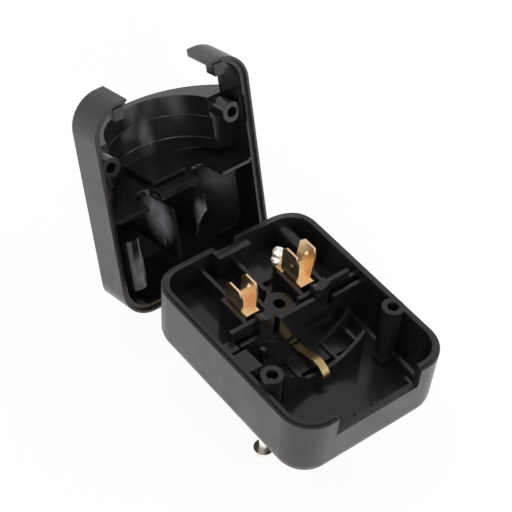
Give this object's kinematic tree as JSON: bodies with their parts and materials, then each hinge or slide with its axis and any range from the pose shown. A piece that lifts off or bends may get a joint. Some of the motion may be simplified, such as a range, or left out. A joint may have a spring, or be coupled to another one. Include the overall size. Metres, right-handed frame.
{
  "type": "plug adapter",
  "caption": "Two-part moulded converter case, opened, with copper pin clips, a brass earth strip, three flat-sided mains pins and backed-out closing screws.",
  "frame": {"origin": "middle of the pin face, the flat underside that the mains pins stand out of", "axes": "+Z from the pin face to the lid, +Y from the cable notch to the hinge, +X to the line pin"},
  "size_m": [0.052, 0.115, 0.0832],
  "materials": {
    "black_case": "satin",
    "black_sleeve": "satin",
    "pin_brass": "satin",
    "strip_brass": "polished",
    "copper": "polished",
    "solder": "satin",
    "nickel": "polished",
    "steel": "brushed",
    "ceramic": "gloss"
  },
  "bodies": {
    "tray": {"tray_housing": "black_case", "line_pin": "pin_brass", "neutral_pin": "pin_brass", "earth_pin": "pin_brass", "line_pin_sleeve": "black_sleeve", "neutral_pin_sleeve": "black_sleeve", "earth_strip": "strip_brass", "live_clip": "copper", "neutral_clip": "copper", "solder_joint": "solder", "neutral_link": "copper", "line_fuse_contact": "copper", "feed_fuse_contact": "copper", "fuse_tube": "ceramic", "fuse_cap_left": "nickel", "fuse_cap_right": "nickel", "fuse_cover": "black_case", "hinge_pin": "steel"},
    "lid": {"lid_housing": "black_case"},
    "screw_left": {"closing_screw_left": "nickel"},
    "screw_right": {"closing_screw_right": "nickel"}
  },
  "joints": [
    {"name": "lid_hinge", "type": "hinge", "parent": "tray", "child": "lid", "pos_m": [0, 0.028, 0.006], "axis": [1, 0, 0], "range_deg": [0, 107]},
    {"name": "screw_left_slide", "type": "slide", "parent": "tray", "child": "screw_left", "axis": [0, 0, 1], "range_m": [0, 0.008]},
    {"name": "screw_right_slide", "type": "slide", "parent": "tray", "child": "screw_right", "axis": [0, 0, 1], "range_m": [0, 0.008]}
  ]
}
